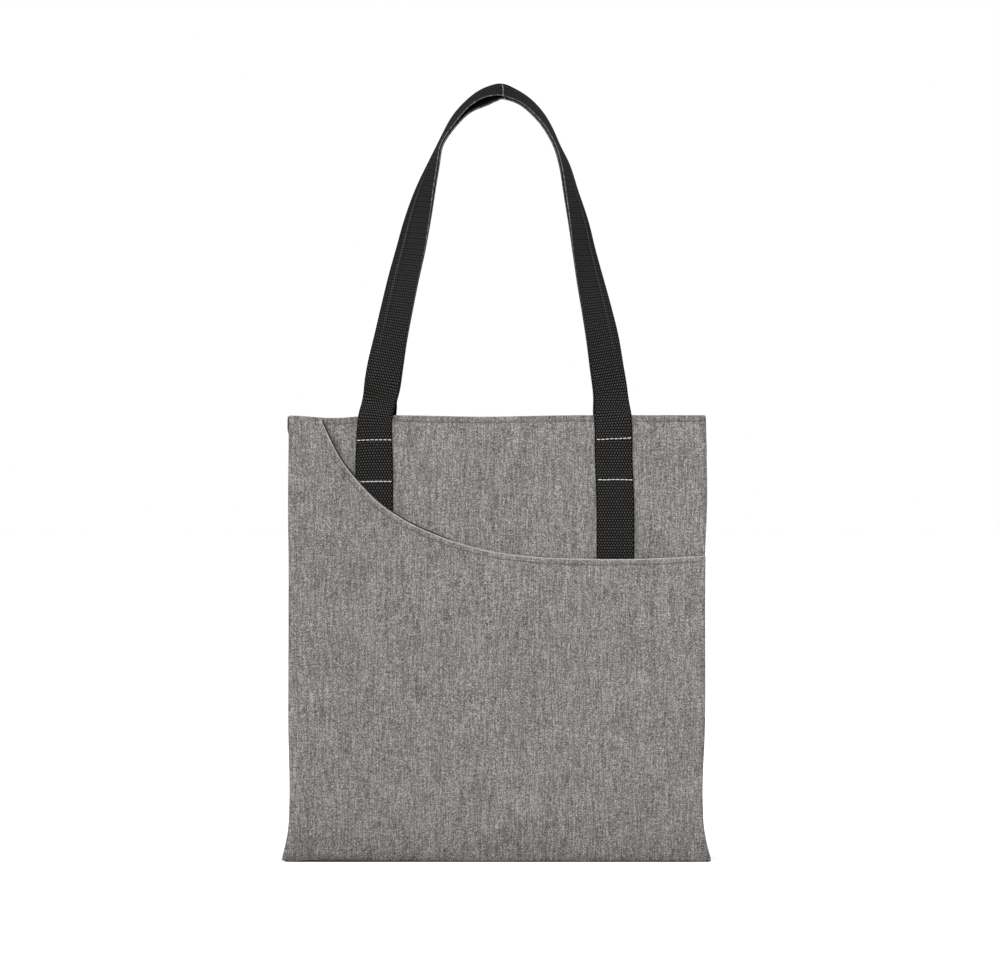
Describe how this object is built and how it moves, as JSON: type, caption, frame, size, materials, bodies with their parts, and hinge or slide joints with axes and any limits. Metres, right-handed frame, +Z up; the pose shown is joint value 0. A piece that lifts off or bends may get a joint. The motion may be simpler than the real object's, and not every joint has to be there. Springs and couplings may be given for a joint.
{
  "type": "fabric tote bag",
  "caption": "Open-topped canvas tote bag with a boxed base, a slip pocket with a swooping edge and webbing carry handles.",
  "frame": {"origin": "on the floor under the middle of the base", "axes": "+Z up through the mouth, -Y out of the front face with the pocket, +X to the right when the front is seen"},
  "size_m": [0.3618, 0.0876, 0.663],
  "materials": {
    "heather_canvas": "heathered plain weave, matt",
    "black_webbing": "woven webbing, low sheen",
    "seam_binding": "thin black tape",
    "grey_thread": "thread that matches the canvas",
    "white_thread": "white sewing thread"
  },
  "bodies": {
    "bag_back": {"base_gusset": "heather_canvas", "back_panel": "heather_canvas", "back_hem_facing": "heather_canvas", "left_gusset_rear": "heather_canvas", "right_gusset_rear": "heather_canvas", "back_left_strap_leg": "black_webbing", "back_right_strap_leg": "black_webbing", "back_left_binding": "seam_binding", "back_right_binding": "seam_binding", "back_bottom_binding": "seam_binding", "back_hem_stitch": "grey_thread", "back_left_upper_tack": "white_thread", "back_left_lower_tack": "white_thread", "back_right_upper_tack": "white_thread", "back_right_lower_tack": "white_thread"},
    "front_wall": {"front_panel": "heather_canvas", "front_hem_facing": "heather_canvas", "pocket_panel": "heather_canvas", "pocket_facing": "heather_canvas", "pocket_bottom_seam": "heather_canvas", "pocket_left_seam": "heather_canvas", "pocket_right_seam": "heather_canvas", "front_left_strap_leg": "black_webbing", "front_right_strap_leg": "black_webbing", "front_left_binding": "seam_binding", "front_right_binding": "seam_binding", "front_bottom_binding": "seam_binding", "front_hem_stitch": "grey_thread", "pocket_edge_stitch": "grey_thread", "front_left_upper_tack": "white_thread", "front_left_lower_tack": "white_thread", "front_right_upper_tack": "white_thread", "front_right_lower_tack": "white_thread", "left_gusset_front": "heather_canvas", "right_gusset_front": "heather_canvas"},
    "front_handle": {"front_handle_strap": "black_webbing"},
    "back_handle": {"back_handle_strap": "black_webbing"}
  },
  "joints": [
    {"name": "mouth_open", "type": "hinge", "parent": "bag_back", "child": "front_wall", "pos_m": [0, -0.038, 0], "axis": [1, 0, 0], "range_deg": [0, 6]},
    {"name": "front_handle_swing", "type": "hinge", "parent": "front_wall", "child": "front_handle", "pos_m": [0, -0.02075, 0.38014], "axis": [1, 0, 0], "range_deg": [0, 170]},
    {"name": "back_handle_swing", "type": "hinge", "parent": "bag_back", "child": "back_handle", "pos_m": [0, 0.02075, 0.38014], "axis": [-1, 0, 0], "range_deg": [0, 170]}
  ]
}
